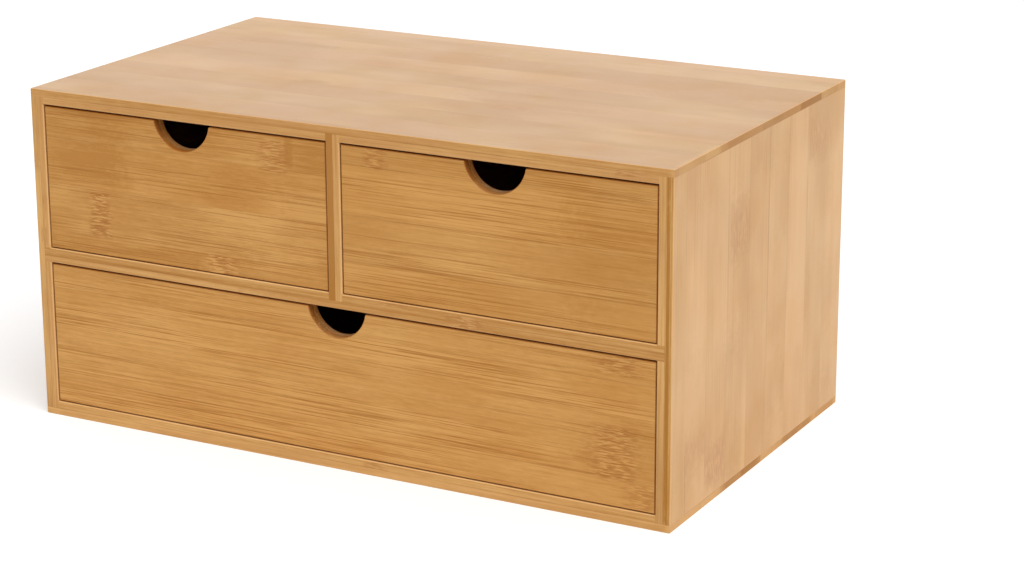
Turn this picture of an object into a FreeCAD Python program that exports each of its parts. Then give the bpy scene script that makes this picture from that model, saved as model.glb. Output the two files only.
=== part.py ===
import FreeCAD, Part
import os

import Sketcher
from FreeCAD import Vector

# Desktop mini drawers in laminated bamboo: a case with two small drawers over one wide one.
#
# The case stands on its bottom panel. X runs to the right, Y to the back and Z up, in millimetres, and the
# origin is the middle of the footprint. Every board is two plies glued together. The side panels stand in
# rebates of the top and bottom panels, one ply deep. The shelf is housed in the side panels, the divider
# in the shelf and the top panel, and the back panel lies in a rebate all round.
#
# Each drawer is a box. Its front is rebated at both ends to take the sides, and so it hides their end grain.
# The back stands between the sides, and the bottom floats in a groove that runs round all four boards.
# Headless brads of square wire hold the corners. A half round finger notch is cut into the top of each front.

# Driving sizes, in millimetres
SIZES = [
    ("case_width", "330", "outside, across the front"),
    ("case_depth", "190", "outside, front to back"),
    ("case_height", "160", "outside, no feet"),
    ("board_thickness", "7", "panels, shelf and divider"),
    ("lap_share", "0.5", "share of a board that a rebate or housing takes"),
    ("lower_bay_share", "0.5", "share of the clear height that the lower bay takes"),
    ("back_thickness", "4", "back panel, and its rebate"),
    ("joint_clearance", "0.05", "room for glue at the end of a tongue or panel"),
    ("edge_radius", "0.4", "sanded outer edges of the case"),
    ("opening_chamfer", "0.4", "sanded edges round the three openings"),
    ("front_thickness", "7", "drawer fronts"),
    ("front_lap_share", "0.5", "share of a front left as the lip over the sides"),
    ("drawer_side_thickness", "5", "drawer sides, and the rebates for them"),
    ("drawer_back_thickness", "5", "drawer backs"),
    ("drawer_bottom_thickness", "3", "drawer bottoms"),
    ("groove_depth", "2.5", "groove for the drawer bottom"),
    ("groove_height", "3", "wood left under the groove"),
    ("groove_clearance", "0.15", "play of the drawer bottom in its groove"),
    ("side_gap", "0.5", "each side of a drawer"),
    ("top_gap", "0.9", "over a drawer"),
    ("running_gap", "0.2", "under a drawer"),
    ("front_lift", "0.25", "front above the underside of the drawer sides"),
    ("front_setback", "0.5", "front behind the edges of the case"),
    ("rear_gap", "0.3", "behind a closed drawer"),
    ("drawer_chamfer", "0.3", "sanded edges of the drawers"),
    ("notch_radius", "15", "finger notch"),
    ("notch_rise", "2", "centre of the notch above the front"),
    ("notch_corner_radius", "0.8", "where the notch meets the top edge"),
    ("brad_thickness", "1.2", "square wire of the headless brads"),
    ("brad_length", "15", "headless brads"),
    ("brad_point", "0.35", "bevel round the point of a brad"),
    ("brad_clearance", "0.05", "round a brad and beyond its point"),
    ("low_brad_share", "0.3", "share of the drawer height"),
    ("high_brad_share", "0.8", "share of the drawer height"),
    ("panel_brad_share", "0.6", "share of the way from the middle to a side panel"),
    ("overrun", "1", "cuts run this far past a face"),
]

# Places and sizes that follow from the driving ones
LAYOUT = [
    ("half_width", "Sizes.case_width / 2"),
    ("front_face", "-Sizes.case_depth / 2"),
    ("rear_face", "Sizes.case_depth / 2"),
    ("panel_face", "rear_face - Sizes.back_thickness"),
    ("lap_depth", "Sizes.board_thickness * Sizes.lap_share"),
    ("half_board", "Sizes.board_thickness / 2"),
    ("bay_half_width", "half_width - Sizes.board_thickness"),
    ("housed_half_width", "bay_half_width + lap_depth"),
    ("floor_level", "Sizes.board_thickness"),
    ("ceiling_level", "Sizes.case_height - Sizes.board_thickness"),
    ("housed_low", "floor_level - lap_depth"),
    ("housed_high", "ceiling_level + lap_depth"),
    ("clear_height", "Sizes.case_height - 3 * Sizes.board_thickness"),
    ("lower_bay_height", "clear_height * Sizes.lower_bay_share"),
    ("upper_bay_height", "clear_height - lower_bay_height"),
    ("shelf_underside", "floor_level + lower_bay_height"),
    ("shelf_top", "shelf_underside + Sizes.board_thickness"),
    ("divider_foot", "shelf_top - lap_depth"),
    ("upper_bay_middle", "(bay_half_width + half_board) / 2"),
    ("side_brad_line", "bay_half_width + lap_depth / 2"),
    ("panel_brad_line", "bay_half_width * Sizes.panel_brad_share"),
    ("half_brad", "Sizes.brad_thickness / 2"),
    ("half_brad_hole", "half_brad + Sizes.brad_clearance"),
    ("brad_hole_depth", "Sizes.brad_length + Sizes.brad_clearance"),
    ("drawer_start", "front_face + Sizes.front_setback"),
    ("drawer_depth", "panel_face - Sizes.rear_gap - drawer_start"),
    ("upper_drawer_width", "bay_half_width - half_board - 2 * Sizes.side_gap"),
    ("lower_drawer_width", "2 * bay_half_width - 2 * Sizes.side_gap"),
    ("upper_drawer_height", "upper_bay_height - Sizes.running_gap - Sizes.top_gap"),
    ("lower_drawer_height", "lower_bay_height - Sizes.running_gap - Sizes.top_gap"),
    ("upper_drawer_level", "shelf_top + Sizes.running_gap"),
    ("lower_drawer_level", "floor_level + Sizes.running_gap"),
    ("front_lip", "Sizes.front_thickness * Sizes.front_lap_share"),
    ("front_brad_line", "(front_lip + Sizes.front_thickness) / 2"),
    ("drawer_back_face", "drawer_depth - Sizes.drawer_back_thickness"),
    ("back_brad_line", "(drawer_back_face + drawer_depth) / 2"),
    ("groove_top", "Sizes.groove_height + Sizes.drawer_bottom_thickness + Sizes.groove_clearance"),
    ("tongue_reach", "Sizes.groove_depth - Sizes.groove_clearance"),
]

# A sketch faces along one axis: the top view has X across and Y up, the front view X and Z, and the side
# view Y and Z. Each is drawn on an origin plane, whose normal points up or down the third axis.
VIEWS = {
    "top": ("XY_Plane", 1),
    "front": ("XZ_Plane", -1),
    "side": ("YZ_Plane", 1),
}

# Two coordinates this close are the same one
SAME_PLACE = 1e-5

LEFT = -1
RIGHT = 1
UPWARD = 1
DOWNWARD = -1


def driving_sheet(document):
    """Spreadsheet of the driving sizes, one alias to a row."""
    sheet = document.addObject("Spreadsheet::Sheet", "Sizes")
    for row, (alias, value, note) in enumerate(SIZES, start=1):
        sheet.set("A%d" % row, alias.replace("_", " "))
        sheet.set("B%d" % row, value)
        sheet.setAlias("B%d" % row, alias)
        sheet.set("C%d" % row, note)
    return sheet


def layout_sheet(document):
    """Spreadsheet of the places that follow from the driving sizes."""
    sheet = document.addObject("Spreadsheet::Sheet", "Layout")
    for row, (alias, formula) in enumerate(LAYOUT, start=1):
        sheet.set("A%d" % row, alias.replace("_", " "))
        sheet.setAlias("B%d" % row, alias)
        sheet.set("B%d" % row, "=" + formula)
    return sheet


def value_of(body, expression):
    """Number that an expression stands for now."""
    return float(body.evalExpression(expression))


def swept(sign, low, high):
    """A span of two expressions, turned over to the other side of zero for a negative sign."""
    if sign > 0:
        return (low, high)
    return ("-(%s)" % high, "-(%s)" % low)


def both_ways(expression):
    """The span from minus an expression to plus it."""
    return ("-(%s)" % expression, expression)


def new_body(document, label, x="0", y="0", z="0"):
    """Empty body whose own origin stands at x, y and z in the case."""
    body = document.addObject("PartDesign::Body", label)
    body.Label = label
    body.setExpression("Placement.Base.x", x)
    body.setExpression("Placement.Base.y", y)
    body.setExpression("Placement.Base.z", z)
    document.recompute()
    return body


def new_sketch(body, name, view, level):
    """Empty sketch that faces along one axis, at a level on that axis."""
    role, normal = VIEWS[view]
    plane = next(feature for feature in body.Origin.OriginFeatures if feature.Role == role)
    sketch = body.newObject("Sketcher::SketchObject", "%s_%s_sketch" % (body.Name, name))
    sketch.AttachmentSupport = (plane, [""])
    sketch.MapMode = "FlatFace"
    sketch.setExpression("AttachmentOffset.Base.z", "%d * (%s)" % (normal, level))
    return sketch


def fix_point(sketch, element, point, across, up):
    """Hold a point of the sketch at two expressions, counted from the sketch's origin."""
    for kind, expression in (("DistanceX", across), ("DistanceY", up)):
        distance = value_of(sketch, expression)
        index = sketch.addConstraint(Sketcher.Constraint(kind, -1, 1, element, point, distance))
        sketch.setExpression("Constraints[%d]" % index, expression)


def draw_outline(sketch, points):
    """Closed outline of straight lines through pairs of expressions. Gives the numbers of its lines."""
    places = [Vector(value_of(sketch, across), value_of(sketch, up), 0) for across, up in points]
    lines = []
    for start, end in zip(places, places[1:] + places[:1]):
        lines.append(sketch.addGeometry(Part.LineSegment(start, end), False))
    for line, following in zip(lines, lines[1:] + lines[:1]):
        sketch.addConstraint(Sketcher.Constraint("Coincident", line, 2, following, 1))
    return lines


def draw_rectangle(sketch, across, up):
    """Rectangle between two expressions across the sketch and two up it."""
    left, right = across
    low, high = up
    lines = draw_outline(sketch, [(left, low), (right, low), (right, high), (left, high)])
    for line, kind in zip(lines, ("Horizontal", "Vertical", "Horizontal", "Vertical")):
        sketch.addConstraint(Sketcher.Constraint(kind, line))
    fix_point(sketch, lines[0], 1, left, low)
    fix_point(sketch, lines[2], 1, right, high)


def draw_corner(sketch, across, up, across_leg, up_leg):
    """Right-angled triangle with its square corner at a point and a leg along each axis."""
    beside = "%s + %s" % (across, across_leg)
    above = "%s + %s" % (up, up_leg)
    points = [(across, up), (beside, up), (across, above)]
    for line, (place_across, place_up) in zip(draw_outline(sketch, points), points):
        fix_point(sketch, line, 1, place_across, place_up)


def draw_squares(sketch, centres, half_side):
    """A square of one size round each pair of expressions."""
    for across, up in centres:
        sides = ("%s - %s" % (across, half_side), "%s + %s" % (across, half_side))
        ends = ("%s - %s" % (up, half_side), "%s + %s" % (up, half_side))
        draw_rectangle(sketch, sides, ends)


def draw_circle(sketch, across, up, radius):
    """Circle round a pair of expressions."""
    size = value_of(sketch, radius)
    centre = Vector(value_of(sketch, across), value_of(sketch, up), 0)
    circle = sketch.addGeometry(Part.Circle(centre, Vector(0, 0, 1), size), False)
    fix_point(sketch, circle, 3, across, up)
    index = sketch.addConstraint(Sketcher.Constraint("Radius", circle, size))
    sketch.setExpression("Constraints[%d]" % index, radius)


def pad(body, name, view, levels, draw, *outline):
    """Add the solid between two levels along the view's axis, with the outline that draw makes."""
    low, high = levels
    normal = VIEWS[view][-1]
    sketch = new_sketch(body, name, view, low if normal > 0 else high)
    draw(sketch, *outline)
    feature = body.newObject("PartDesign::Pad", "%s_%s" % (body.Name, name))
    feature.Profile = sketch
    feature.setExpression("Length", "(%s) - (%s)" % (high, low))
    body.Document.recompute()


def cut(body, name, view, levels, draw, *outline):
    """Take away what lies between two levels along the view's axis, inside the outline that draw makes."""
    low, high = levels
    normal = VIEWS[view][-1]
    before = body.Shape.Volume
    sketch = new_sketch(body, name, view, high if normal > 0 else low)
    draw(sketch, *outline)
    feature = body.newObject("PartDesign::Pocket", "%s_%s" % (body.Name, name))
    feature.Profile = sketch
    feature.setExpression("Length", "(%s) - (%s)" % (high, low))
    body.Document.recompute()
    if not body.Shape.Volume < before:
        raise RuntimeError("%s cuts nothing from %s" % (name, body.Label))


def edges_on(body, curved=None, **planes):
    """Names of the body's edges that lie on every given plane, such as x=... and z=..., as expressions."""
    origin = body.Placement.Base
    places = {axis: value_of(body, expression) for axis, expression in planes.items()}
    names = []
    for index, edge in enumerate(body.Shape.Edges, start=1):
        box = edge.BoundBox
        spans = {
            "x": (box.XMin - origin.x, box.XMax - origin.x),
            "y": (box.YMin - origin.y, box.YMax - origin.y),
            "z": (box.ZMin - origin.z, box.ZMax - origin.z),
        }
        offsets = [end - places[axis] for axis in places for end in spans[axis]]
        is_curved = not isinstance(edge.Curve, Part.Line)
        if max(map(abs, offsets)) < SAME_PLACE and curved in (None, is_curved):
            names.append("Edge%d" % index)
    return names


def dress(body, name, kind, size_name, size, edges):
    """Fillet or chamfer named edges of the body as it stands."""
    if not edges:
        raise RuntimeError("%s finds no edge on %s" % (name, body.Label))
    base = body.Tip
    before = body.Shape.Volume
    feature = body.newObject("PartDesign::" + kind, "%s_%s" % (body.Name, name))
    feature.Base = (base, edges)
    feature.setExpression(size_name, size)
    body.Tip = feature
    body.Document.recompute()
    if not body.Shape.Volume < before:
        raise RuntimeError("%s changes nothing on %s" % (name, body.Label))


def round_edges(body, name, radius, edges):
    """Sand edges round."""
    dress(body, name, "Fillet", "Radius", radius, edges)


def bevel_edges(body, name, size, edges):
    """Take the sharpness off edges, or point a brad."""
    dress(body, name, "Chamfer", "Size", size, edges)


# The openings: their front edges are sanded after the case is glued, so the chamfers stop at the corners
def sand_level_edge(body, name, height, inward, across):
    """Chamfer a level front edge at a height, between two places across the case."""
    leg = "%d * Sizes.opening_chamfer" % inward
    cut(body, name, "side", across, draw_corner, "Layout.front_face", height, "Sizes.opening_chamfer", leg)


def sand_upright_edge(body, name, across, inward, heights):
    """Chamfer an upright front edge, between two heights."""
    leg = "%d * Sizes.opening_chamfer" % inward
    cut(body, name, "top", heights, draw_corner, across, "Layout.front_face", leg, "Sizes.opening_chamfer")


# Brads through the back panel: where each board behind it takes them, in the case's own frame
def panel_brads(board):
    """Places of the brads that hold the back panel to a board, as pairs of expressions for X and Z."""
    lower_middle = "(Layout.floor_level + Layout.shelf_underside) / 2"
    upper_middle = "(Layout.shelf_top + Layout.ceiling_level) / 2"
    heights = {
        "bottom_panel": "Layout.floor_level - Layout.lap_depth / 2",
        "shelf": "Layout.shelf_underside + Layout.half_board",
        "top_panel": "Layout.ceiling_level + Layout.lap_depth / 2",
    }
    if board in heights:
        return [(across, heights[board]) for across in both_ways("Layout.panel_brad_line")]
    if board == "left_side_panel":
        return [("-Layout.side_brad_line", height) for height in (lower_middle, upper_middle)]
    if board == "right_side_panel":
        return [("Layout.side_brad_line", height) for height in (lower_middle, upper_middle)]
    return [("0", upper_middle)]


def drill_for_panel(body, boards, x="0", y="0", z="0"):
    """Drill the brad holes of some boards into a body whose own origin stands at x, y and z in the case."""
    places = [
        ("(%s) - (%s)" % (across, x), "(%s) - (%s)" % (height, z))
        for board in boards
        for across, height in panel_brads(board)
    ]
    levels = (
        "Layout.rear_face - Layout.brad_hole_depth - (%s)" % y,
        "Layout.rear_face + Sizes.overrun - (%s)" % y,
    )
    cut(body, "brad_holes", "front", levels, draw_squares, places, "Layout.half_brad_hole")


# Case
def lap_panel(document, label, level, facing, housed):
    """Top or bottom panel. Its inner face is at its own zero, and its outer face is the way it faces."""
    panel = new_body(document, label, z=level)
    depth = ("Layout.front_face", "Layout.rear_face")
    thickness = swept(facing, "0", "Sizes.board_thickness")
    one_ply = swept(facing, "-Sizes.overrun", "Layout.lap_depth")
    through = ("Layout.front_face - Sizes.overrun", "Layout.rear_face + Sizes.overrun")
    pad(panel, "blank", "top", thickness, draw_rectangle, both_ways("Layout.half_width"), depth)
    for name, side in (("left_rebate", LEFT), ("right_rebate", RIGHT)):
        ends = swept(side, "Layout.bay_half_width", "Layout.half_width + Sizes.overrun")
        cut(panel, name, "front", through, draw_rectangle, ends, one_ply)
    rebate = ("Layout.panel_face", "Layout.rear_face + Sizes.overrun")
    cut(panel, "back_rebate", "side", both_ways("Layout.half_width"), draw_rectangle, rebate, one_ply)
    if housed:
        housing = both_ways("Layout.half_board")
        cut(panel, "divider_housing", "front", through, draw_rectangle, housing, one_ply)
    drill_for_panel(panel, [label], z=level)
    outer = "%d * Sizes.board_thickness" % facing
    edges = edges_on(panel, x="Layout.half_width", z=outer)
    edges += edges_on(panel, x="-Layout.half_width", z=outer)
    edges += edges_on(panel, y="Layout.front_face", z=outer)
    edges += edges_on(panel, y="Layout.rear_face", z=outer)
    for across in both_ways("Layout.half_width"):
        edges += edges_on(panel, x=across, y="Layout.front_face")
        edges += edges_on(panel, x=across, y="Layout.rear_face")
    round_edges(panel, "outer_edges", "Sizes.edge_radius", edges)
    if housed:
        for name, side in (("left_opening_edge", LEFT), ("right_opening_edge", RIGHT)):
            across = swept(side, "Layout.half_board", "Layout.bay_half_width")
            sand_level_edge(panel, name, "0", facing, across)
    else:
        sand_level_edge(panel, "opening_edge", "0", facing, both_ways("Layout.bay_half_width"))
    return panel


def side_panel(document, label, hand):
    """Left or right side panel. Its inner face is at its own zero across the case."""
    inner_face = "%d * Layout.bay_half_width" % hand
    panel = new_body(document, label, x=inner_face)
    depth = ("Layout.front_face", "Layout.rear_face")
    height = ("Layout.housed_low", "Layout.housed_high")
    through = ("Layout.front_face - Sizes.overrun", "Layout.rear_face + Sizes.overrun")
    one_ply = swept(hand, "-Sizes.overrun", "Layout.lap_depth")
    thickness = swept(hand, "0", "Sizes.board_thickness")
    pad(panel, "blank", "side", thickness, draw_rectangle, depth, height)
    shelf = ("Layout.shelf_underside", "Layout.shelf_top")
    cut(panel, "shelf_housing", "front", through, draw_rectangle, one_ply, shelf)
    rebate = ("Layout.panel_face", "Layout.rear_face + Sizes.overrun")
    cut(panel, "back_rebate", "top", height, draw_rectangle, one_ply, rebate)
    drill_for_panel(panel, [label], x=inner_face)
    outer = "%d * Sizes.board_thickness" % hand
    edges = edges_on(panel, x=outer, y="Layout.front_face") + edges_on(panel, x=outer, y="Layout.rear_face")
    round_edges(panel, "outer_edges", "Sizes.edge_radius", edges)
    lower = ("Layout.floor_level", "Layout.shelf_underside")
    upper = ("Layout.shelf_top", "Layout.ceiling_level")
    for name, heights in (("lower_opening_edge", lower), ("upper_opening_edge", upper)):
        sand_upright_edge(panel, name, "0", hand, heights)
    return panel


def shelf(document):
    """Shelf between the lower bay and the upper ones. Its underside is at its own zero."""
    board = new_body(document, "shelf", z="Layout.shelf_underside")
    across = both_ways("Layout.housed_half_width - Sizes.joint_clearance")
    depth = ("Layout.front_face", "Layout.panel_face")
    through = ("Layout.front_face - Sizes.overrun", "Layout.panel_face + Sizes.overrun")
    pad(board, "blank", "top", ("0", "Sizes.board_thickness"), draw_rectangle, across, depth)
    one_ply = ("Sizes.board_thickness - Layout.lap_depth", "Sizes.board_thickness + Sizes.overrun")
    cut(board, "divider_housing", "front", through, draw_rectangle, both_ways("Layout.half_board"), one_ply)
    drill_for_panel(board, ["shelf"], z="Layout.shelf_underside")
    sand_level_edge(board, "lower_opening_edge", "0", UPWARD, both_ways("Layout.bay_half_width"))
    for name, side in (("left_opening_edge", LEFT), ("right_opening_edge", RIGHT)):
        across = swept(side, "Layout.half_board", "Layout.bay_half_width")
        sand_level_edge(board, name, "Sizes.board_thickness", DOWNWARD, across)
    return board


def divider(document):
    """Upright board between the two small drawers. Its foot, in the shelf's housing, is at its own zero."""
    board = new_body(document, "divider", z="Layout.divider_foot")
    depth = ("Layout.front_face", "Layout.panel_face")
    height = ("0", "Layout.housed_high - Layout.divider_foot - Sizes.joint_clearance")
    pad(board, "blank", "side", both_ways("Layout.half_board"), draw_rectangle, depth, height)
    drill_for_panel(board, ["divider"], z="Layout.divider_foot")
    opening = ("Layout.lap_depth", "Layout.lap_depth + Layout.upper_bay_height")
    sand_upright_edge(board, "left_opening_edge", "-Layout.half_board", RIGHT, opening)
    sand_upright_edge(board, "right_opening_edge", "Layout.half_board", LEFT, opening)
    return board


BACKED_BOARDS = ["bottom_panel", "shelf", "top_panel", "left_side_panel", "right_side_panel", "divider"]


def back_panel(document):
    """Thin panel in the rebates behind. Its front face is at its own zero, front to back."""
    panel = new_body(document, "back_panel", y="Layout.panel_face")
    across = both_ways("Layout.housed_half_width - Sizes.joint_clearance")
    height = ("Layout.housed_low + Sizes.joint_clearance", "Layout.housed_high - Sizes.joint_clearance")
    pad(panel, "blank", "front", ("0", "Sizes.back_thickness"), draw_rectangle, across, height)
    drill_for_panel(panel, BACKED_BOARDS, y="Layout.panel_face")
    return panel


def back_panel_brads(document):
    """Brads driven through the back panel, flush with it."""
    brads = new_body(document, "back_panel_brads")
    places = [place for board in BACKED_BOARDS for place in panel_brads(board)]
    point_level = "Layout.rear_face - Sizes.brad_length"
    levels = (point_level, "Layout.rear_face")
    pad(brads, "shanks", "front", levels, draw_squares, places, "Layout.half_brad")
    bevel_edges(brads, "points", "Sizes.brad_point", edges_on(brads, y=point_level))
    return brads


# Drawers
class Drawer:
    """One drawer: its name, the sheet's names for its size, and where it stands in the case."""

    def __init__(self, name, tier, middle):
        self.name = name
        self.width = "Layout.%s_drawer_width" % tier
        self.height = "Layout.%s_drawer_height" % tier
        self.level = "Layout.%s_drawer_level" % tier
        self.middle = middle
        self.half_width = "%s / 2" % self.width
        self.inner_half_width = "%s / 2 - Sizes.drawer_side_thickness" % self.width

    def body(self, document, piece):
        """Empty body with its origin under the middle of the drawer's front."""
        label = "%s_%s" % (self.name, piece)
        return new_body(document, label, x=self.middle, y="Layout.drawer_start", z=self.level)

    def brad_places(self, line):
        """Two brads above each other on a line, as pairs of expressions for Y and Z."""
        return [(line, "%s * Sizes.%s_brad_share" % (self.height, tier)) for tier in ("low", "high")]

    def drill(self, body, name, hand, lines):
        """Brad holes from the outside of one drawer side, on each of the lines."""
        places = [place for line in lines for place in self.brad_places(line)]
        bottom = "%s - Layout.brad_hole_depth" % self.half_width
        mouth = "%s + Sizes.overrun" % self.half_width
        cut(body, name, "side", swept(hand, bottom, mouth), draw_squares, places, "Layout.half_brad_hole")


DRAWERS = [
    Drawer("left_drawer", "upper", "-Layout.upper_bay_middle"),
    Drawer("right_drawer", "upper", "Layout.upper_bay_middle"),
    Drawer("bottom_drawer", "lower", "0"),
]

GROOVE_HEIGHTS = ("Sizes.groove_height", "Layout.groove_top")


def drawer_front(document, drawer):
    """Front with the finger notch, a lip over each side, and a groove for the bottom."""
    front = drawer.body(document, "front")
    across = both_ways(drawer.half_width)
    height = ("Sizes.front_lift", drawer.height)
    thickness = ("0", "Sizes.front_thickness")
    pad(front, "blank", "front", thickness, draw_rectangle, across, height)
    behind_lip = ("Layout.front_lip", "Sizes.front_thickness + Sizes.overrun")
    upright = ("0", "%s + Sizes.overrun" % drawer.height)
    for name, side in (("left_rebate", LEFT), ("right_rebate", RIGHT)):
        ends = swept(side, drawer.inner_half_width, "%s + Sizes.overrun" % drawer.half_width)
        cut(front, name, "top", upright, draw_rectangle, ends, behind_lip)
    groove = ("Sizes.front_thickness - Sizes.groove_depth", "Sizes.front_thickness + Sizes.overrun")
    cut(front, "groove", "side", across, draw_rectangle, groove, GROOVE_HEIGHTS)
    for name, side in (("left_brad_holes", LEFT), ("right_brad_holes", RIGHT)):
        drawer.drill(front, name, side, ["Layout.front_brad_line"])
    through = ("-Sizes.overrun", "Sizes.front_thickness + Sizes.overrun")
    centre_height = "%s + Sizes.notch_rise" % drawer.height
    cut(front, "finger_notch", "front", through, draw_circle, "0", centre_height, "Sizes.notch_radius")
    half_mouth = "sqrt(Sizes.notch_radius ^ 2 - Sizes.notch_rise ^ 2)"
    corners = []
    for mouth_edge in both_ways(half_mouth):
        corners += edges_on(front, x=mouth_edge, z=drawer.height)
    round_edges(front, "notch_corners", "Sizes.notch_corner_radius", corners)
    outline = edges_on(front, y="0")
    inner_edges = edges_on(front, y="Sizes.front_thickness", z=drawer.height)
    inner_edges += edges_on(front, curved=True, y="Sizes.front_thickness")
    bevel_edges(front, "sanded_edges", "Sizes.drawer_chamfer", outline + inner_edges)
    return front


def drawer_side(document, drawer, hand):
    """Left or right side, which runs from the lip of the front to the back of the drawer."""
    side = drawer.body(document, "right_side" if hand > 0 else "left_side")
    thickness = swept(hand, drawer.inner_half_width, drawer.half_width)
    depth = ("Layout.front_lip", "Layout.drawer_depth")
    pad(side, "blank", "side", thickness, draw_rectangle, depth, ("0", drawer.height))
    inner = drawer.inner_half_width
    groove = swept(hand, "%s - Sizes.overrun" % inner, "%s + Sizes.groove_depth" % inner)
    cut(side, "groove", "front", depth, draw_rectangle, groove, GROOVE_HEIGHTS)
    drawer.drill(side, "brad_holes", hand, ["Layout.front_brad_line", "Layout.back_brad_line"])
    edges = edges_on(side, x=thickness[0], z=drawer.height) + edges_on(side, x=thickness[1], z=drawer.height)
    bevel_edges(side, "sanded_edges", "Sizes.drawer_chamfer", edges)
    return side


def drawer_back(document, drawer):
    """Back board, between the two sides."""
    back = drawer.body(document, "back")
    across = both_ways(drawer.inner_half_width)
    thickness = ("Layout.drawer_back_face", "Layout.drawer_depth")
    pad(back, "blank", "front", thickness, draw_rectangle, across, ("0", drawer.height))
    groove = ("Layout.drawer_back_face - Sizes.overrun", "Layout.drawer_back_face + Sizes.groove_depth")
    cut(back, "groove", "side", across, draw_rectangle, groove, GROOVE_HEIGHTS)
    for name, side in (("left_brad_holes", LEFT), ("right_brad_holes", RIGHT)):
        drawer.drill(back, name, side, ["Layout.back_brad_line"])
    edges = []
    for face in thickness:
        edges += edges_on(back, y=face, z=drawer.height)
    bevel_edges(back, "sanded_edges", "Sizes.drawer_chamfer", edges)
    return back


def drawer_bottom(document, drawer):
    """Thin bottom, loose in the groove that runs round the four boards."""
    bottom = drawer.body(document, "bottom")
    across = both_ways("%s + Layout.tongue_reach" % drawer.inner_half_width)
    depth = ("Sizes.front_thickness - Layout.tongue_reach", "Layout.drawer_back_face + Layout.tongue_reach")
    thickness = ("Sizes.groove_height", "Sizes.groove_height + Sizes.drawer_bottom_thickness")
    pad(bottom, "blank", "top", thickness, draw_rectangle, across, depth)
    return bottom


def drawer_brads(document, drawer):
    """Brads through the sides into the front and the back, flush with the sides."""
    brads = drawer.body(document, "brads")
    lines = ["Layout.front_brad_line", "Layout.back_brad_line"]
    places = [place for line in lines for place in drawer.brad_places(line)]
    point_level = "%s - Sizes.brad_length" % drawer.half_width
    for name, side in (("left", LEFT), ("right", RIGHT)):
        levels = swept(side, point_level, drawer.half_width)
        pad(brads, name + "_shanks", "side", levels, draw_squares, places, "Layout.half_brad")
        point_edges = edges_on(brads, x="%d * (%s)" % (side, point_level))
        bevel_edges(brads, name + "_points", "Sizes.brad_point", point_edges)
    return brads


def check_document(document, pieces):
    """Stop on any object that failed to compute, and on any piece without a sound shape."""
    for item in document.Objects:
        if "Invalid" in item.State or "Error" in item.State:
            raise RuntimeError("%s did not compute" % item.Label)
    for piece in pieces:
        if piece.Shape.isNull() or not piece.Shape.isValid() or not piece.Shape.Solids:
            raise RuntimeError("%s has no sound solid" % piece.Label)


def main():
    """Build the document, check it, and write one STEP file for each piece."""
    document = FreeCAD.newDocument("DesktopMiniDrawers")
    driving_sheet(document)
    document.recompute()
    layout_sheet(document)
    document.recompute()

    pieces = [
        lap_panel(document, "top_panel", "Layout.ceiling_level", UPWARD, housed=True),
        lap_panel(document, "bottom_panel", "Layout.floor_level", DOWNWARD, housed=False),
        side_panel(document, "left_side_panel", LEFT),
        side_panel(document, "right_side_panel", RIGHT),
        shelf(document),
        divider(document),
        back_panel(document),
        back_panel_brads(document),
    ]
    for drawer in DRAWERS:
        pieces.append(drawer_front(document, drawer))
        pieces.append(drawer_side(document, drawer, LEFT))
        pieces.append(drawer_side(document, drawer, RIGHT))
        pieces.append(drawer_back(document, drawer))
        pieces.append(drawer_bottom(document, drawer))
        pieces.append(drawer_brads(document, drawer))

    document.recompute()
    check_document(document, pieces)
    os.makedirs("parts", exist_ok=True)
    for piece in pieces:
        piece.Shape.exportStep("parts/%s.step" % piece.Label)
        print("%-28s %8.1f mm3, %2d solids" % (piece.Label, piece.Shape.Volume, len(piece.Shape.Solids)))


main()
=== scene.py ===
"""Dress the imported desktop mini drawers: laid bamboo boards, headless brads and a white studio.

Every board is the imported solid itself. What is made here is its wood: strips about 22 mm wide, glued edge to
edge in one or two plies, with fibre lines, knuckles, glue joints and end grain that run through the board as
they do in a real one. Lengths are in metres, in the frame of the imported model: X to the right, Y to the back,
Z up.
"""

import logging
import math
from dataclasses import dataclass, replace
from enum import Enum

import bpy
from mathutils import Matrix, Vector


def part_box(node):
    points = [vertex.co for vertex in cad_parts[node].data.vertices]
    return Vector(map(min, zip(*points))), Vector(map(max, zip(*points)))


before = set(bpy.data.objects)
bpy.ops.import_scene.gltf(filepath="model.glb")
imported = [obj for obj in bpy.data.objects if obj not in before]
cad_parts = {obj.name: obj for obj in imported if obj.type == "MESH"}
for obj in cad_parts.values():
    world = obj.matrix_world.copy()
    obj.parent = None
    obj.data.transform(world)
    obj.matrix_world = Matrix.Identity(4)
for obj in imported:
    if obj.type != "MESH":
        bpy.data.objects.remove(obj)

LOG = logging.getLogger("drawers")

SCREEN_LEVELS = 255
SCREEN_LINEAR_END = 0.04045
SCREEN_LINEAR_SLOPE = 12.92
SCREEN_SHIFT = 0.055
SCREEN_POWER = 2.4

Triple = tuple[float, float, float]
Colour = tuple[float, float, float, float]
Output = bpy.types.NodeSocket


class Axis(Enum):
    """A direction of the shared frame."""

    SIDEWAYS = (1.0, 0.0, 0.0)
    DEEP = (0.0, 1.0, 0.0)
    UPRIGHT = (0.0, 0.0, 1.0)


class Kind(Enum):
    """What a socket of a node group carries."""

    NUMBER = "NodeSocketFloat"
    PLACE = "NodeSocketVector"


def paint(red: int, green: int, blue: int) -> Colour:
    """Turn a colour as a screen shows it into the linear colour that a shader takes.

    Args:
        red: Screen red, 0 to 255.
        green: Screen green, 0 to 255.
        blue: Screen blue, 0 to 255.

    Returns:
        The linear colour, with full opacity.
    """
    linear = []
    for level in (red, green, blue):
        share = level / SCREEN_LEVELS
        if share <= SCREEN_LINEAR_END:
            linear.append(share / SCREEN_LINEAR_SLOPE)
        else:
            linear.append(((share + SCREEN_SHIFT) / (1 + SCREEN_SHIFT)) ** SCREEN_POWER)
    return (linear[0], linear[1], linear[2], 1.0)


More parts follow.
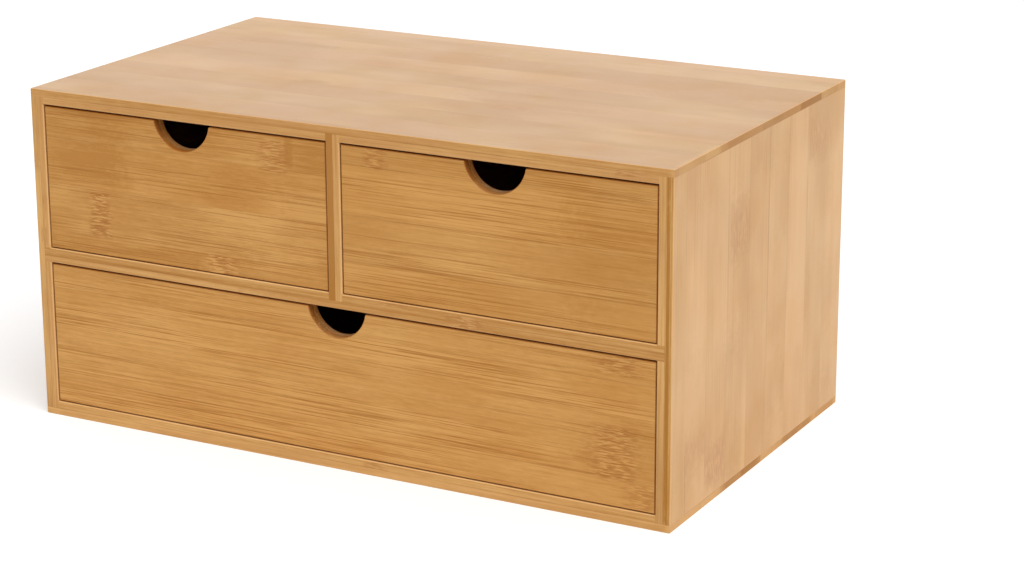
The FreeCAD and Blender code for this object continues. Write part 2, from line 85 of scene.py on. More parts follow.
WHITE = paint(255, 255, 255)


class Wiring:
    """The nodes and links of one node tree, in a row."""

    spacing = 190

    def __init__(self, tree: bpy.types.NodeTree) -> None:
        """Take the tree that the nodes go into."""
        self.tree = tree
        self.columns = 0

    @classmethod
    def of(cls, owner: bpy.types.ID) -> "Wiring":
        """Empty the tree of a material or a world, and take it.

        Args:
            owner: The material or the world.

        Returns:
            The wiring of its tree.
        """
        owner.use_nodes = True
        owner.node_tree.nodes.clear()
        return cls(owner.node_tree)

    def add(self, kind: str, **settings: object) -> bpy.types.Node:
        """Add a node.

        Args:
            kind: Blender's name of the node type.
            settings: The node's own settings, such as its operation.

        Returns:
            The new node.
        """
        node = self.tree.nodes.new(kind)
        node.location = (self.columns * self.spacing, 0)
        self.columns += 1
        for name, value in settings.items():
            setattr(node, name, value)
        return node

    def feed(self, socket: bpy.types.NodeSocket, value: object) -> None:
        """Link an output to a socket, or set the socket's own value.

        Args:
            socket: The input socket.
            value: An output or a plain value.
        """
        if isinstance(value, Output):
            self.tree.links.new(value, socket)
        else:
            socket.default_value = value

    def feed_all(self, node: bpy.types.Node, values: tuple) -> None:
        """Feed a node's first sockets, in order."""
        for socket, value in zip(node.inputs, values):
            self.feed(socket, value)

    def feed_named(self, node: bpy.types.Node, values: dict[str, object]) -> None:
        """Feed some of a node's sockets, by name."""
        for name, value in values.items():
            self.feed(node.inputs[name], value)

    def end(self, kind: str, shader: Output) -> None:
        """End the tree with its output node."""
        self.feed(self.add(kind).inputs["Surface"], shader)

    def maths(self, operation: str, *values: object, clamp: bool = False) -> Output:
        """Work out one number from others.

        Args:
            operation: Blender's name of the operation.
            values: Outputs or plain numbers, in order.
            clamp: Whether the result is kept between 0 and 1.

        Returns:
            The output with the result.
        """
        node = self.add("ShaderNodeMath", operation=operation, use_clamp=clamp)
        self.feed_all(node, values)
        return node.outputs["Value"]

    def total(self, *values: object, clamp: bool = False) -> Output:
        """Add up any number of values.

        Args:
            values: Outputs or plain numbers.
            clamp: Whether the sum is kept between 0 and 1.

        Returns:
            The output with the sum.
        """
        result = values[0]
        for value in values[1:]:
            result = self.maths("ADD", result, value, clamp=clamp and value is values[-1])
        return result

    def times(self, first: object, second: object) -> Output:
        """Multiply two outputs or plain numbers."""
        return self.maths("MULTIPLY", first, second)

    def less(self, first: object, second: object) -> Output:
        """Take the second from the first."""
        return self.maths("SUBTRACT", first, second)

    def size(self, value: object) -> Output:
        """Leave out a number's sign."""
        return self.maths("ABSOLUTE", value)

    def swing(self, value: object, reach: float) -> Output:
        """Turn a number that lies about one half into one that lies about nought, times a reach."""
        return self.times(self.less(value, 0.5), reach)

    def places(self, operation: str, *values: object, result: str = "Vector") -> Output:
        """Work with directions and places.

        Args:
            operation: Blender's name of the operation.
            values: Outputs or plain values, in order.
            result: Name of the output that is wanted.

        Returns:
            The output with the result.
        """
        node = self.add("ShaderNodeVectorMath", operation=operation)
        self.feed_all(node, values)
        return node.outputs[result]

    def along(self, place: object, axis: object) -> Output:
        """Give how far a place lies along an axis."""
        return self.places("DOT_PRODUCT", place, axis, result="Value")

    def joined(self, *numbers: object) -> Output:
        """Join three numbers into one place.

        Args:
            numbers: Outputs or plain numbers.

        Returns:
            The output with the place.
        """
        node = self.add("ShaderNodeCombineXYZ")
        self.feed_all(node, numbers)
        return node.outputs["Vector"]

    def noise(
        self, place: object, cells: Triple, detail: float = 2.0, rough: float = 0.5, warp: float = 0.0
    ) -> Output:
        """Make a cloudy pattern.

        Args:
            place: Where the pattern is read.
            cells: Cells to a metre along each of the place's three numbers.
            detail: How many finer layers it has.
            rough: How strong the finer layers are.
            warp: How far it is twisted on itself.

        Returns:
            The pattern, from 0 to 1 about a middle of one half.
        """
        node = self.add("ShaderNodeTexNoise")
        settings = {
            "Vector": self.places("MULTIPLY", place, cells),
            "Scale": 1.0,
            "Detail": detail,
            "Roughness": rough,
            "Distortion": warp,
        }
        self.feed_named(node, settings)
        return node.outputs["Fac"]

    def chance(self, key: object) -> tuple[Output, ...]:
        """Draw three fixed chances for a key, such as a strip's number.

        Args:
            key: Place that stands for one strip.

        Returns:
            Three outputs from 0 to 1.
        """
        node = self.add("ShaderNodeTexWhiteNoise")
        self.feed(node.inputs["Vector"], key)
        parts = self.add("ShaderNodeSeparateColor")
        self.feed(parts.inputs["Color"], node.outputs["Color"])
        return tuple(parts.outputs)

    def rise(self, value: object, low: object, high: object) -> Output:
        """Rise smoothly from 0 to 1.

        Args:
            value: The number that is looked at.
            low: Where it is still 0.
            high: Where it has come to 1.

        Returns:
            The output with the rise.
        """
        node = self.add("ShaderNodeMapRange", interpolation_type="SMOOTHSTEP")
        self.feed_named(node, {"Value": value, "From Min": low, "From Max": high})
        return node.outputs["Result"]

    def fall(self, value: object, low: object, high: object) -> Output:
        """Drop smoothly from 1 at the low value to 0 at the high one."""
        return self.less(1.0, self.rise(value, low, high))

    def mix(self, share: object, first: object, second: object) -> Output:
        """Mix two colours.

        Args:
            share: The second colour's share.
            first: An output or a plain colour.
            second: An output or a plain colour.

        Returns:
            The output with the mixture.
        """
        node = self.add("ShaderNodeMix", data_type="RGBA")
        self.feed(node.inputs["Factor"], share)
        colours = [socket for socket in node.inputs if socket.type == "RGBA"]
        self.feed(colours[0], first)
        self.feed(colours[1], second)
        return [socket for socket in node.outputs if socket.type == "RGBA"][0]


class Effect:
    """A shader node group that finishes share, placed with each one's own values."""

    title = "effect"
    places: tuple[str, ...] = ()
    numbers: tuple[str, ...] = ()
    outputs: tuple[str, ...] = ()

    def __init__(self) -> None:
        """Build the node group."""
        self.tree = bpy.data.node_groups.new(self.title, "ShaderNodeTree")
        rows = (
            ("INPUT", Kind.PLACE, self.places),
            ("INPUT", Kind.NUMBER, self.numbers),
            ("OUTPUT", Kind.NUMBER, self.outputs),
        )
        for side, kind, names in rows:
            for name in names:
                self.tree.interface.new_socket(name, in_out=side, socket_type=kind.value)
        self.inside = Wiring(self.tree)
        given = self.inside.add("NodeGroupInput").outputs
        self.given = {name: given[name] for name in self.places + self.numbers}
        results = self.work_out()
        self.inside.feed_named(self.inside.add("NodeGroupOutput"), results)

    def work_out(self) -> dict[str, Output]:
        """Work out the group's results; each effect has its own way."""
        raise NotImplementedError

    def put(self, wiring: Wiring, values: dict[str, object]) -> dict[str, Output]:
        """Place the group in a tree.

        Args:
            wiring: The tree that it goes into.
            values: Outputs or plain values for its inputs, by name.

        Returns:
            The group's outputs, by name.
        """
        node = wiring.add("ShaderNodeGroup", node_tree=self.tree)
        wiring.feed_named(node, values)
        return {name: node.outputs[name] for name in self.outputs}


class LaidStrips(Effect):
    """Bamboo strips glued edge to edge in one or two plies, with their grain all one way."""

    title = "laid_bamboo_strips"
    places = ("Place", "Facing", "Grain", "Breadth", "Thickness")
    numbers = (
        "Strip width",
        "Strip start",
        "Ply joint",
        "Second ply",
        "Near ply shade",
        "Far ply shade",
        "Strip contrast",
        "Clouds",
        "Streaks",
        "Edge streaks",
        "Lines",
        "Knuckles",
        "Board number",
    )
    outputs = ("Tone", "Warmth", "Fibre", "Joint", "Knuckle", "Edge grain", "End grain", "Lacquer")
    cloud_cells = (17.0, 34.0, 34.0)
    streak_cells = (9.0, 800.0, 800.0)
    line_cells = (20.0, 1900.0, 1900.0)
    short_cells = (170.0, 1300.0, 1300.0)
    crowd_cells = (6.0, 110.0, 110.0)
    glue_cells = (17.0, 25.0, 25.0)
    ragged_cells = (150.0, 500.0, 500.0)
    crowd_range = (0.34, 0.6)
    fibre_range = (0.53, 0.68)
    glue_range = (0.38, 0.66)
    facing_range = (0.5, 0.9)
    line_reach = 2.8
    short_reach = 0.95
    warm_cloud_reach = 1.4
    warm_strip_share = 0.6
    ragged_reach = 0.006
    edge_clearing = 0.7
    strip_offset = 9.0
    stagger = 0.43
    knuckle_spacing = 0.23
    knuckle_half = 0.0045
    knuckle_fade = (0.2, 1.6)
    glue_half = 0.00016
    ply_glue_half = 0.00026
    glue_fade = (0.5, 1.5)

    def work_out(self) -> dict[str, Output]:
        """Part the board into plies and strips, and give each strip its own grain.

        Returns:
            Tone from pale to deep, warmth, fibre lines, glue joints, knuckles, the faces cut along and across
            the grain, and how much lacquer a face carries.
        """
        wiring, given = self.inside, self.given
        place = given["Place"]
        width = given["Strip width"]
        along = wiring.along(place, given["Grain"])
        across = wiring.along(place, given["Breadth"])
        through = wiring.less(wiring.along(place, given["Thickness"]), given["Ply joint"])
        far = wiring.times(wiring.maths("GREATER_THAN", through, 0.0), given["Second ply"])
        shift = wiring.times(wiring.times(far, self.stagger), width)
        run = wiring.total(wiring.less(across, given["Strip start"]), shift)
        count = wiring.maths("DIVIDE", run, width)
        strip = wiring.maths("FLOOR", count)
        part = wiring.maths("FRACT", count)
        shade, hue, luck = wiring.chance(wiring.joined(strip, far, given["Board number"]))
        lengthways = wiring.total(along, wiring.times(shade, self.strip_offset))
        lengthways = wiring.total(lengthways, given["Board number"])
        wood = wiring.joined(lengthways, across, through)
        clouds = wiring.noise(wood, self.cloud_cells)
        streaks = wiring.noise(wood, self.streak_cells, detail=3.0, rough=0.7)
        lines = wiring.noise(wood, self.line_cells, rough=0.6)
        short = wiring.noise(wood, self.short_cells, rough=0.6)
        crowd = wiring.rise(wiring.noise(wood, self.crowd_cells, detail=1.0), *self.crowd_range)
        edge = self.faces("Breadth")
        end = self.faces("Grain")
        cut_across = wiring.maths("MAXIMUM", edge, end)
        streaking = wiring.total(given["Streaks"], wiring.times(edge, given["Edge streaks"]))
        clearing = wiring.less(1.0, wiring.times(cut_across, self.edge_clearing))
        clouding = wiring.times(given["Clouds"], clearing)
        short_share = wiring.times(streaking, clearing)
        line_share = wiring.times(crowd, given["Lines"])
        near_shade = wiring.times(wiring.less(1.0, far), given["Near ply shade"])
        far_shade = wiring.times(far, given["Far ply shade"])
        tone = wiring.total(
            0.5,
            wiring.times(wiring.swing(shade, 1.0), given["Strip contrast"]),
            wiring.times(cut_across, wiring.total(near_shade, far_shade)),
            wiring.times(wiring.swing(clouds, 1.0), clouding),
            wiring.times(wiring.swing(streaks, 1.0), streaking),
            wiring.times(wiring.swing(short, self.short_reach), short_share),
            wiring.times(wiring.swing(lines, self.line_reach), line_share),
            clamp=True,
        )
        warm_strip = wiring.times(hue, self.warm_strip_share)
        return {
            "Tone": tone,
            "Warmth": wiring.total(warm_strip, wiring.swing(clouds, self.warm_cloud_reach), clamp=True),
            "Fibre": wiring.times(wiring.rise(lines, *self.fibre_range), crowd),
            "Joint": self.joints(part, through, wood),
            "Knuckle": self.knuckles(along, luck, wood),
            "Edge grain": edge,
            "End grain": end,
            "Lacquer": wiring.less(1.0, cut_across),
        }

    def faces(self, axis: str) -> Output:
        """Tell the faces that look along one of the board's directions, either way."""
        lean = self.inside.along(self.given["Facing"], self.given[axis])
        return self.inside.rise(self.inside.size(lean), *self.facing_range)

    def joints(self, part: Output, through: Output, wood: Output) -> Output:
        """Draw the glue joints between strips and between plies.

        Args:
            part: How far across its strip a point lies, 0 to 1.
            through: How far a point lies from the joint of the two plies.
            wood: The point in its strip's own grain.

        Returns:
            A mask of the thin lines of glue.
        """
        wiring, given = self.inside, self.given
        edge = wiring.maths("MINIMUM", part, wiring.less(1.0, part))
        gap = wiring.times(edge, given["Strip width"])
        line = wiring.fall(gap, *(self.glue_half * share for share in self.glue_fade))
        ply_ends = (self.ply_glue_half * share for share in self.glue_fade)
        ply_line = wiring.times(wiring.fall(wiring.size(through), *ply_ends), given["Second ply"])
        seen = wiring.rise(wiring.noise(wood, self.glue_cells), *self.glue_range)
        return wiring.times(wiring.maths("MAXIMUM", line, ply_line), seen)

    def knuckles(self, along: Output, luck: Output, wood: Output) -> Output:
        """Draw the knuckles that each strip of cane has at its own even spacing.

        Args:
            along: How far a point lies along the grain.
            luck: The strip's chance that sets where its knuckles fall.
            wood: The point in its strip's own grain.

        Returns:
            A mask of the ragged bands, where the board has them at all.
        """
        wiring = self.inside
        cell = wiring.total(wiring.maths("DIVIDE", along, self.knuckle_spacing), luck)
        off = wiring.size(wiring.less(wiring.maths("FRACT", cell), 0.5))
        ragged = wiring.swing(wiring.noise(wood, self.ragged_cells), self.ragged_reach)
        distance = wiring.total(wiring.times(off, self.knuckle_spacing), ragged)
        band = wiring.fall(distance, *(self.knuckle_half * share for share in self.knuckle_fade))
        return wiring.times(band, self.given["Knuckles"])


class StripMark(Effect):
    """A ragged mark on one strip, such as a knuckle or a patch of another tone."""

    title = "mark_on_a_strip"
    places = ("Place", "Grain", "Breadth")
    numbers = ("Along", "Across", "Half length", "Half width", "Softness")
    outputs = ("Mask",)
    wobble_cells = (300.0, 300.0, 300.0)
    wobble_reach = 1.4
    side_softness = 0.4

    def work_out(self) -> dict[str, Output]:
        """Measure how far a point lies from the mark's middle, along and across the grain.

        Returns:
            The mark's mask.
        """
        wiring, given = self.inside, self.given
        place = given["Place"]
        along = wiring.along(place, given["Grain"])
        across = wiring.along(place, given["Breadth"])
        wobble = wiring.noise(place, self.wobble_cells, detail=3.0, rough=0.7)
        length = wiring.size(wiring.less(along, given["Along"]))
        length = wiring.maths("DIVIDE", length, given["Half length"])
        length = wiring.total(length, wiring.swing(wobble, self.wobble_reach))
        breadth = wiring.size(wiring.less(across, given["Across"]))
        breadth = wiring.maths("DIVIDE", breadth, given["Half width"])
        low = wiring.less(1.0, given["Softness"])
        high = wiring.total(1.0, given["Softness"])
        side_soft = wiring.times(given["Softness"], self.side_softness)
        ends = wiring.fall(length, low, high)
        inner = wiring.less(1.0, side_soft)
        sides = wiring.fall(breadth, inner, wiring.total(1.0, side_soft))
        return {"Mask": wiring.times(ends, sides)}


class KnuckleFlecks(Effect):
    """The short wavy fibres, pale ones and dark ones, that show inside a knuckle."""

    title = "flecks_in_a_knuckle"
    places = ("Place", "Grain", "Breadth", "Thickness")
    outputs = ("Pale", "Dark")
    fleck_cells = (200.0, 1900.0, 1900.0)
    fleck_warp = 0.45
    pale_range = (0.5, 0.61)
    dark_range = (0.36, 0.48)

    def work_out(self) -> dict[str, Output]:
        """Draw short fibres along the grain and bend them a little.

        Returns:
            The pale fibres and the dark ones, 0 where there are none.
        """
        wiring, given = self.inside, self.given
        lengths = [wiring.along(given["Place"], given[name]) for name in ("Grain", "Breadth", "Thickness")]
        wood = wiring.joined(*lengths)
        wavy = wiring.noise(wood, self.fleck_cells, detail=1.0, warp=self.fleck_warp)
        pale = wiring.rise(wavy, *self.pale_range)
        return {"Pale": pale, "Dark": wiring.fall(wavy, *self.dark_range)}


class ArrisPaintedLight(Effect):
    """The sanded bevels round a board's broad faces, with a colour over the faces' tone: a painted highlight on
    the case and drawer boxes, a painted shade on the drawer fronts.
    """

    title = "painted_light_on_arrises"
    places = ("Facing", "Thickness")
    outputs = ("Mask",)
    edge_range = (0.2, 0.5)
    face_range = (0.88, 0.98)

    def work_out(self) -> dict[str, Output]:
        """Find where the surface looks neither straight along the board's thickness nor square to it.

        Returns:
            A mask of the bevels.
        """
        wiring, given = self.inside, self.given
        lean = wiring.size(wiring.along(given["Facing"], given["Thickness"]))
        off_edge = wiring.rise(lean, *self.edge_range)
        return {"Mask": wiring.times(off_edge, wiring.fall(lean, *self.face_range))}


class HandledSurface(Effect):
    """The faint unevenness that handling and a thin lacquer leave."""

    title = "handled_surface"
    places = ("Place",)
    outputs = ("Smudge", "Ripple")
    smudge_cells = (21.0, 21.0, 21.0)
    ripple_cells = (160.0, 160.0, 160.0)
    smudge_range = (0.4, 0.75)

    def work_out(self) -> dict[str, Output]:
        """Lay broad smudges and a fine ripple.

        Returns:
            The smudges for the gloss and the ripple for the relief.
        """
        wiring, place = self.inside, self.given["Place"]
        smudge = wiring.noise(place, self.smudge_cells, detail=4.0, rough=0.6)
        ripple = wiring.noise(place, self.ripple_cells, detail=1.0)
        return {"Smudge": wiring.rise(smudge, *self.smudge_range), "Ripple": ripple}


class DrawnWire(Effect):
    """Fine lines along a drawn wire, with a little tarnish."""

    title = "drawn_wire"
    places = ("Place",)
    outputs = ("Line", "Tarnish")
    line_cells = (5200.0, 700.0, 5200.0)
    tarnish_cells = (900.0, 900.0, 900.0)
    tarnish_range = (0.45, 0.7)

    def work_out(self) -> dict[str, Output]:
        """Draw lines that are fine every way but one, and patches of tarnish.

        Returns:
            The lines and the tarnish, 0 to 1.
        """
        wiring, place = self.inside, self.given["Place"]
        line = wiring.noise(place, self.line_cells)
        tarnish = wiring.noise(place, self.tarnish_cells, detail=3.0)
        return {"Line": line, "Tarnish": wiring.rise(tarnish, *self.tarnish_range)}


@dataclass(frozen=True)
class Mark:
    """A knuckle, a seam or a patch of another tone at a known place on a board.

    Lengths are measured along the board's grain and along its breadth, or through its thickness for a mark
    that shows on its edges.
    """

    along: float
    across: float
    length: float
    width: float
    strength: float
    through: bool = False


@dataclass(frozen=True)
class Cut:
    """How a board was cut from laid strips."""

    grain: Axis
    breadth: Axis
    number: int
    strip_start: float = 0.0
    plies: int = 2
    near_ply_shade: float = 0.0
    far_ply_shade: float = 0.0
    strip_contrast: float = 0.45
    knuckles: tuple[Mark, ...] = ()
    patches: tuple[Mark, ...] = ()
    seams: tuple[Mark, ...] = ()
    stray_knuckles: float = 0.0

    @property
    def thickness(self) -> Axis:
        """The axis that is left for the board's thickness."""
        return next(axis for axis in Axis if axis not in (self.grain, self.breadth))

    def directions(self) -> dict[str, Triple]:
        """Give the board's three directions, by the names of the effects' inputs."""
        axes = (self.grain, self.breadth, self.thickness)
        return {name: axis.value for name, axis in zip(("Grain", "Breadth", "Thickness"), axes)}


@dataclass(frozen=True)
class BambooFinish:
    """The colours, the gloss and the relief of a kind of board."""

    title: str
    pale: Colour
    deep: Colour
    edge_pale: Colour
    edge_deep: Colour
    warm: Colour
    fibre: Colour
    joint: Colour
    knuckle: Colour
    fleck: Colour
    end: Colour
    # Bevel colour: a painted highlight on the case and drawer boxes, a painted shade that darkens the gaps on
    # the fronts.
    arris_painted_light: Colour
    roughness: float
    specular: float
    coat: float
    relief: float
    clouds: float
    streaks: float
    lines: float
    fibre_share: float
    end_share: float
    edge_streaks: float = 1.42
    warm_share: float = 0.4
    joint_share: float = 0.5
    knuckle_share: float = 0.55
    fleck_share: float = 0.5
    arris_painted_light_share: float = 0.45


@dataclass(frozen=True)
class SteelFinish:
    """Bright drawn steel wire."""

    title: str = "bright_wire"
    bright: Colour = paint(206, 206, 208)
    dull: Colour = paint(158, 153, 147)
    roughness: float = 0.3


class Workshop:
    """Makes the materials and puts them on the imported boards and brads."""

    strip_width = 0.02207
    knuckle_softness = 0.55
    patch_softness = 0.6
    seam_softness = 0.9
    gloss_swing = 0.12
    fibre_gloss_swing = 0.06
    cut_roughness = 0.25
    tarnish_roughness = 0.25
    thirst = 0.8
    relief_depth = 0.00012
    wire_relief_depth = 0.00003
    fibre_relief = -0.6
    joint_relief = -0.8
    fleck_relief = -0.5
    ripple_relief = 0.5
    wire_relief = 0.3

    def __init__(self) -> None:
        """Build the shared effects."""
        self.strips = LaidStrips()
        self.mark = StripMark()
        self.flecks = KnuckleFlecks()
        self.arris_painted_light = ArrisPaintedLight()
        self.surface = HandledSurface()
        self.wire = DrawnWire()

    def new_material(self, title: str) -> tuple[bpy.types.Material, Wiring, bpy.types.Node]:
        """Start a material with an empty tree, its shader and its output.

        Args:
            title: Name of the material.

        Returns:
            The material, its wiring and its shader node.
        """
        material = bpy.data.materials.new(title)
        wiring = Wiring.of(material)
        shader = wiring.add("ShaderNodeBsdfPrincipled")
        wiring.end("ShaderNodeOutputMaterial", shader.outputs["BSDF"])
        return material, wiring, shader

    def put_on(self, node: str, material: bpy.types.Material) -> None:
        """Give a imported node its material, and leave its mesh as it is.

        Args:
            node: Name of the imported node.
            material: Its material.
        """
        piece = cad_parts[node]
        if not piece.material_slots:
            piece.data.materials.append(None)
        for slot in piece.material_slots:
            slot.material = material
        LOG.info("%s: %s", node, material.name)

    def emboss(
        self, wiring: Wiring, shader: bpy.types.Node, height: Output, strength: float, depth: float
    ) -> None:
        """Give the surface its relief.

        Args:
            wiring: The material's tree.
            shader: The shader that takes the relief.
            height: The pattern of heights.
            strength: How much of it shows.
            depth: How deep a height of 1 is.
        """
        bump = wiring.add("ShaderNodeBump")
        wiring.feed_named(bump, {"Strength": strength, "Distance": depth, "Height": height})
        wiring.feed(shader.inputs["Normal"], bump.outputs["Normal"])

    def marks(
        self, wiring: Wiring, place: Output, cut: Cut, marks: tuple[Mark, ...], softness: float
    ) -> list[Output]:
        """Place a mask for each mark.

        Args:
            wiring: The material's tree.
            place: The point on the board.
            cut: How the board was cut.
            marks: The marks, each at its own place.
            softness: How far their edges fade.

        Returns:
            One mask to a mark, times its strength.
        """
        masks = []
        for mark in marks:
            values = {
                "Place": place,
                "Grain": cut.grain.value,
                "Breadth": (cut.thickness if mark.through else cut.breadth).value,
                "Along": mark.along,
                "Across": mark.across,
                "Half length": mark.length / 2,
                "Half width": mark.width / 2,
                "Softness": softness,
            }
            mask = self.mark.put(wiring, values)["Mask"]
            masks.append(wiring.times(mask, mark.strength))
        return masks

    def dress_board(self, node: str, finish: BambooFinish, cut: Cut) -> None:
        """Make a board's own wood and put it on.

        Args:
            node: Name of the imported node.
            finish: Its colours and gloss.
            cut: How it was cut from laid strips.
        """
        low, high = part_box(node)
        material, wiring, shader = self.new_material(f"{finish.title}_{node}")
        coordinates = wiring.add("ShaderNodeTexCoord")
        place = coordinates.outputs["Object"]
        facing = coordinates.outputs["Normal"]
        wood = self.strips.put(
            wiring,
            {
                "Place": place,
                "Facing": facing,
                **cut.directions(),
                "Strip width": self.strip_width,
                "Strip start": cut.strip_start,
                "Ply joint": (low + high).dot(Vector(cut.thickness.value)) / 2,
                "Second ply": float(cut.plies - 1),
                "Near ply shade": cut.near_ply_shade,
                "Far ply shade": cut.far_ply_shade,
                "Strip contrast": cut.strip_contrast,
                "Clouds": finish.clouds,
                "Streaks": finish.streaks,
                "Edge streaks": finish.edge_streaks,
                "Lines": finish.lines,
                "Knuckles": cut.stray_knuckles,
                "Board number": float(cut.number),
            },
        )
        flecks = self.flecks.put(wiring, {"Place": place, **cut.directions()})
        # Mask of the bevels, which carry the finish's painted highlight (case, boxes) or painted shade
        # (fronts).
        arris_light_mask = self.arris_painted_light.put(wiring, {"Facing": facing, "Thickness": cut.thickness.value})["Mask"]
        surface = self.surface.put(wiring, {"Place": place})
        tone = wood["Tone"]
        for patch in self.marks(wiring, place, cut, cut.patches, self.patch_softness):
            tone = wiring.total(tone, patch, clamp=True)
        drinks = wiring.total(wiring.times(tone, self.thirst), 1 - self.thirst)
        end_grain = wiring.times(wood["End grain"], drinks)
        knuckle = wood["Knuckle"]
        for mask in self.marks(wiring, place, cut, cut.knuckles, self.knuckle_softness):
            knuckle = wiring.maths("MAXIMUM", knuckle, mask)
        pale_flecks = wiring.times(knuckle, flecks["Pale"])
        dark_flecks = wiring.times(knuckle, flecks["Dark"])
        joint = wood["Joint"]
        for mask in self.marks(wiring, place, cut, cut.seams, self.seam_softness):
            joint = wiring.maths("MAXIMUM", joint, mask)
        face_colour = wiring.mix(tone, finish.pale, finish.deep)
        edge_colour = wiring.mix(tone, finish.edge_pale, finish.edge_deep)
        colour = wiring.mix(wood["Edge grain"], face_colour, edge_colour)
        layers = (
            (wood["Warmth"], finish.warm_share, finish.warm),
            (wood["Fibre"], finish.fibre_share, finish.fibre),
            (end_grain, finish.end_share, finish.end),
            (knuckle, finish.knuckle_share, finish.knuckle),
            (dark_flecks, finish.fleck_share, finish.fibre),
            (pale_flecks, finish.fleck_share, finish.fleck),
            (joint, finish.joint_share, finish.joint),
            # Last layer: painted light on the bevels, a pale highlight on the case and boxes, a dark gap shade
            # on the fronts.
            (arris_light_mask, finish.arris_painted_light_share, finish.arris_painted_light),
        )
        for mask, share, layer in layers:
            colour = wiring.mix(wiring.times(mask, share), colour, layer)
        wiring.feed(shader.inputs["Base Color"], colour)
        rough = wiring.total(
            finish.roughness,
            wiring.times(surface["Smudge"], self.gloss_swing),
            wiring.times(wood["Fibre"], self.fibre_gloss_swing),
            wiring.times(wiring.less(1.0, wood["Lacquer"]), self.cut_roughness),
            clamp=True,
        )
        wiring.feed(shader.inputs["Roughness"], rough)
        wiring.feed(shader.inputs["Specular IOR Level"], finish.specular)
        if finish.coat:
            wiring.feed(shader.inputs["Coat Weight"], wiring.times(wood["Lacquer"], finish.coat))
        height = wiring.total(
            wiring.times(wood["Fibre"], self.fibre_relief),
            wiring.times(joint, self.joint_relief),
            wiring.times(pale_flecks, self.fleck_relief),
            wiring.times(surface["Ripple"], self.ripple_relief),
        )
        self.emboss(wiring, shader, height, finish.relief, self.relief_depth)
        self.put_on(node, material)

    def dress_brads(self, node: str, finish: SteelFinish) -> None:
        """Make the drawn steel and put it on a set of brads.

        Args:
            node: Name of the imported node.
            finish: Its colours and gloss.
        """
        material, wiring, shader = self.new_material(f"{finish.title}_{node}")
        place = wiring.add("ShaderNodeTexCoord").outputs["Object"]
        steel = self.wire.put(wiring, {"Place": place})
        colour = wiring.mix(steel["Tarnish"], finish.bright, finish.dull)
        wiring.feed(shader.inputs["Base Color"], colour)
        wiring.feed(shader.inputs["Metallic"], 1.0)
        tarnished = wiring.times(steel["Tarnish"], self.tarnish_roughness)
        wiring.feed(shader.inputs["Roughness"], wiring.total(finish.roughness, tarnished))
        self.emboss(wiring, shader, steel["Line"], self.wire_relief, self.wire_relief_depth)
        self.put_on(node, material)


CASE_BAMBOO = BambooFinish(
    title="case_bamboo",
    pale=paint(223, 175, 114),
    deep=paint(198, 146, 76),
    edge_pale=paint(229, 179, 110),
    edge_deep=paint(178, 118, 38),
    warm=paint(220, 160, 104),
    fibre=paint(178, 122, 54),
    joint=paint(150, 96, 40),
    knuckle=paint(188, 124, 64),
    fleck=paint(232, 184, 118),
    end=paint(158, 104, 44),
    # Painted highlight along the bevels round the openings.
    arris_painted_light=paint(246, 196, 136),
    roughness=0.36,
    specular=0.4,
    coat=0.2,
    relief=0.3,
    clouds=2.1,
    streaks=0.32,
    lines=0.3,
    fibre_share=0.1,
    end_share=0.75,
    warm_share=0.3,
)

TOP_BAMBOO = replace(
    CASE_BAMBOO,
    title="top_bamboo",
    pale=paint(213, 167, 108),
    deep=paint(191, 142, 79),
    specular=0.5,
    clouds=2.6,
    streaks=0.12,
    lines=0.15,
    fibre_share=0.04,
    warm_share=0.5,
)

FRONT_BAMBOO = BambooFinish(
    title="front_bamboo",
    pale=paint(223, 168, 95),
    deep=paint(184, 124, 50),
    edge_pale=paint(196, 156, 112),
    edge_deep=paint(162, 94, 18),
    warm=paint(215, 150, 70),
    fibre=paint(158, 96, 26),
    joint=paint(150, 92, 30),
    knuckle=paint(172, 100, 30),
    fleck=paint(242, 190, 112),
    end=paint(142, 78, 26),
    # Painted shade on the bevels, which darkens the gaps round the fronts.
    arris_painted_light=paint(150, 84, 22),
    roughness=0.42,
    specular=0.25,
    coat=0.08,
    relief=0.4,
    clouds=0.9,
    streaks=0.84,
    lines=1.1,
    fibre_share=0.45,
    end_share=0.8,
    edge_streaks=0.5,
    fleck_share=0.62,
    arris_painted_light_share=0.4,
)

SMOOTH_FRONT_BAMBOO = replace(FRONT_BAMBOO, title="smooth_front_bamboo", clouds=1.8, lines=0.5)

CALM_FRONT_BAMBOO = replace(FRONT_BAMBOO, title="calm_front_bamboo", clouds=0.85, streaks=0.58, lines=0.72)

DRAWER_BOX_BAMBOO = BambooFinish(
    title="drawer_box_bamboo",
    pale=paint(226, 186, 130),
    deep=paint(198, 152, 94),
    edge_pale=paint(222, 178, 116),
    edge_deep=paint(192, 142, 80),
    warm=paint(216, 168, 108),
    fibre=paint(180, 128, 72),
    joint=paint(150, 102, 56),
    knuckle=paint(190, 134, 76),
    fleck=paint(236, 200, 150),
    end=paint(166, 118, 72),
    # Painted highlight along the bevels.
    arris_painted_light=paint(234, 196, 144),
    roughness=0.55,
    specular=0.35,
    coat=0.0,
    relief=0.5,
    clouds=1.2,
    streaks=1.0,
    lines=0.8,
    fibre_share=0.26,
    end_share=0.5,
)

STEEL = SteelFinish()

LYING = {"grain": Axis.SIDEWAYS, "breadth": Axis.DEEP}
STANDING = {"grain": Axis.UPRIGHT, "breadth": Axis.DEEP}
SIDE_STRIP_START = 0.0155
EDGE_STRIP_START = -0.086

